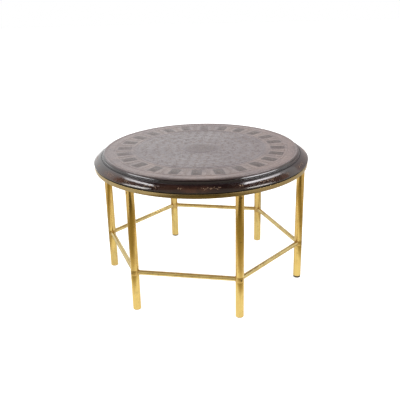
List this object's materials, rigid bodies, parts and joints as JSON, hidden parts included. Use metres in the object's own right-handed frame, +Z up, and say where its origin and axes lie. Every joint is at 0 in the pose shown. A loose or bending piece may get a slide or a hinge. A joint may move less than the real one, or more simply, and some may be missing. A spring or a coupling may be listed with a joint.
{
  "type": "tray table",
  "caption": "Round low table: a dark tooled tray with a moulded rim lifts out of a lipped brass ring on straight tubular legs joined by a hexagon of rods.",
  "frame": {"origin": "on the floor, on the table's vertical axis", "axes": "+Z up; leg 1 stands on +X and the others follow every 60 degrees, counter-clockwise seen from above"},
  "size_m": [0.758, 0.758, 0.49],
  "materials": {
    "brass": "polished and lacquered, lightly aged",
    "aged_brass": "dark, unpolished",
    "lacquered_wood": "dark brown gloss lacquer with worn gilt sprigs",
    "tooled_leather": "tooled, dyed and varnished to a soft gloss",
    "plywood": "bare",
    "felt": "pressed wool felt",
    "rubber": "matt"
  },
  "bodies": {
    "stand": {"seat_ring": "brass", "seat_felt": "felt", "leg_spigot_1": "brass", "leg_spigot_2": "brass", "leg_spigot_3": "brass", "leg_spigot_4": "brass", "leg_spigot_5": "brass", "leg_spigot_6": "brass", "upper_leg_1": "brass", "upper_leg_2": "brass", "upper_leg_3": "brass", "upper_leg_4": "brass", "upper_leg_5": "brass", "upper_leg_6": "brass", "leg_screw_1": "aged_brass", "leg_screw_2": "aged_brass", "leg_screw_3": "aged_brass", "leg_screw_4": "aged_brass", "leg_screw_5": "aged_brass", "leg_screw_6": "aged_brass", "corner_hub_1": "brass", "corner_hub_2": "brass", "corner_hub_3": "brass", "corner_hub_4": "brass", "corner_hub_5": "brass", "corner_hub_6": "brass", "stretcher_1": "brass", "stretcher_2": "brass", "stretcher_3": "brass", "stretcher_4": "brass", "stretcher_5": "brass", "stretcher_6": "brass", "hub_screw_1": "aged_brass", "hub_screw_2": "aged_brass", "hub_screw_3": "aged_brass", "hub_screw_4": "aged_brass", "hub_screw_5": "aged_brass", "hub_screw_6": "aged_brass", "lower_leg_1": "brass", "lower_leg_2": "brass", "lower_leg_3": "brass", "lower_leg_4": "brass", "lower_leg_5": "brass", "lower_leg_6": "brass", "foot_glide_1": "rubber", "foot_glide_2": "rubber", "foot_glide_3": "rubber", "foot_glide_4": "rubber", "foot_glide_5": "rubber", "foot_glide_6": "rubber"},
    "tray": {"rim_moulding": "lacquered_wood", "rim_bead": "lacquered_wood", "tooled_panel": "tooled_leather", "top_board": "plywood", "core_board": "plywood"}
  },
  "joints": [
    {"name": "tray_lift", "type": "slide", "parent": "stand", "child": "tray", "axis": [0, 0, 1], "range_m": [0, 0.1]}
  ]
}
